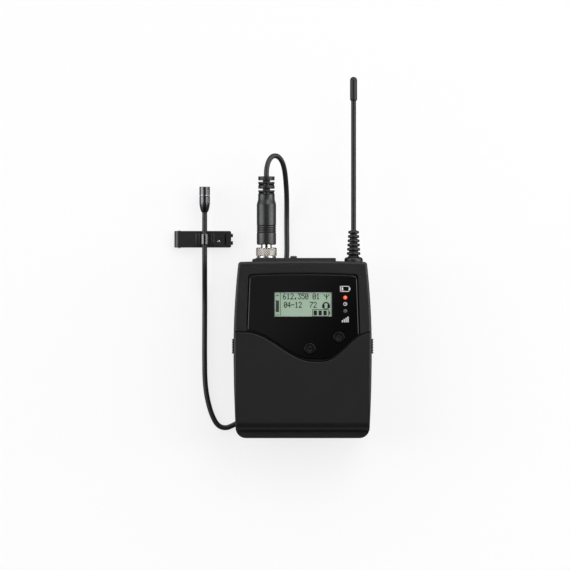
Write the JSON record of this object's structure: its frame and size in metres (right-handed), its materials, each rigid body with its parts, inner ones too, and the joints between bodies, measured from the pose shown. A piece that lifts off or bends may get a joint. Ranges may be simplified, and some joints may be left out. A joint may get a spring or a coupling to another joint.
{
  "type": "lavalier microphone with bodypack transmitter",
  "caption": "Clip-on lavalier microphone wired to a belt-worn transmitter with antenna, display, hinged battery cover and screw-locked plug.",
  "frame": {"origin": "centre of the belt clip's outer flat face, which the pack lies on", "axes": "+Z out of the display, +Y towards the antenna tip, +X to the right as the display is read"},
  "size_m": [0.0906, 0.1642, 0.0308],
  "materials": {
    "case_metal": "satin black",
    "trim_plastic": "matte",
    "window": "polished",
    "lcd": "smooth",
    "board": "matte",
    "lamp_red": "glowing",
    "lamp_grey": "smooth",
    "button": "matte",
    "steel": "brushed",
    "cell": "gloss",
    "contact": "plated",
    "nickel": "plated",
    "plug_plastic": "satin",
    "rubber": "matte",
    "mic_metal": "gloss black",
    "tie_metal": "satin black",
    "cord": "satin"
  },
  "bodies": {
    "pack": {"rear_housing": "case_metal", "front_housing": "case_metal", "top_pad": "trim_plastic", "display_window": "window", "lcd_panel": "lcd", "inner_frame": "trim_plastic", "circuit_board": "board", "status_lamp": "lamp_red", "peak_lamp": "lamp_grey", "hinge_pins": "steel", "battery_cells": "cell", "battery_contacts": "contact", "charging_contacts": "contact", "case_screws": "steel", "jack_socket": "nickel", "plug_contact": "nickel", "plug_body": "plug_plastic", "plug_boot": "rubber", "antenna_boot": "rubber", "antenna_rod": "rubber", "antenna_tip": "rubber", "belt_clip_pin": "steel", "mic_body": "mic_metal", "mic_cap": "mic_metal", "mic_mesh": "steel", "cord_top_run": "cord", "cord_coil": "cord", "cord_mic_run": "cord"},
    "cover": {"battery_cover": "case_metal"},
    "left_latch": {"latch_left": "button"},
    "right_latch": {"latch_right": "button"},
    "left_button": {"button_left": "button"},
    "right_button": {"button_right": "button"},
    "switch": {"mute_switch": "button"},
    "nut": {"lock_nut": "nickel"},
    "clip": {"belt_clip": "steel"},
    "tie": {"tie_plate": "tie_metal", "tie_pin": "steel"},
    "jaw": {"tie_jaw": "tie_metal"}
  },
  "joints": [
    {"name": "cover_hinge", "type": "hinge", "parent": "pack", "child": "cover", "pos_m": [0, -0.0524, 0.0226], "axis": [1, 0, 0], "range_deg": [0, 95]},
    {"name": "left_latch_press", "type": "slide", "parent": "cover", "child": "left_latch", "axis": [1, 0, 0], "range_m": [0, 0.001], "stiffness_N_per_m": 600, "springref_m": -0.001},
    {"name": "right_latch_press", "type": "slide", "parent": "cover", "child": "right_latch", "axis": [-1, 0, 0], "range_m": [0, 0.001], "stiffness_N_per_m": 600, "springref_m": -0.001},
    {"name": "left_button_press", "type": "slide", "parent": "pack", "child": "left_button", "axis": [0, 0, -1], "range_m": [0, 0.0005], "stiffness_N_per_m": 1000, "springref_m": -0.0005},
    {"name": "right_button_press", "type": "slide", "parent": "pack", "child": "right_button", "axis": [0, 0, -1], "range_m": [0, 0.0005], "stiffness_N_per_m": 1000, "springref_m": -0.0005},
    {"name": "mute_slide", "type": "slide", "parent": "pack", "child": "switch", "axis": [1, 0, 0], "range_m": [0, 0.0025]},
    {"name": "lock_nut_turn", "type": "hinge", "parent": "pack", "child": "nut", "pos_m": [-0.01645, 0.031, 0.0186], "axis": [0, 1, 0], "continuous": true},
    {"name": "belt_clip_hinge", "type": "hinge", "parent": "pack", "child": "clip", "pos_m": [0, 0.0155, 0.0042], "axis": [1, 0, 0], "range_deg": [0, 12], "stiffness_Nm_per_rad": 0.6, "springref_deg": -5.73},
    {"name": "tie_clip_slide", "type": "slide", "parent": "pack", "child": "tie", "axis": [0, 1, 0], "range_m": [-0.004, 0.004]},
    {"name": "tie_jaw_hinge", "type": "hinge", "parent": "tie", "child": "jaw", "pos_m": [-0.0564, 0.0364, 0.0022], "axis": [0, 1, 0], "range_deg": [0, 30], "stiffness_Nm_per_rad": 0.03, "springref_deg": -17.19}
  ]
}
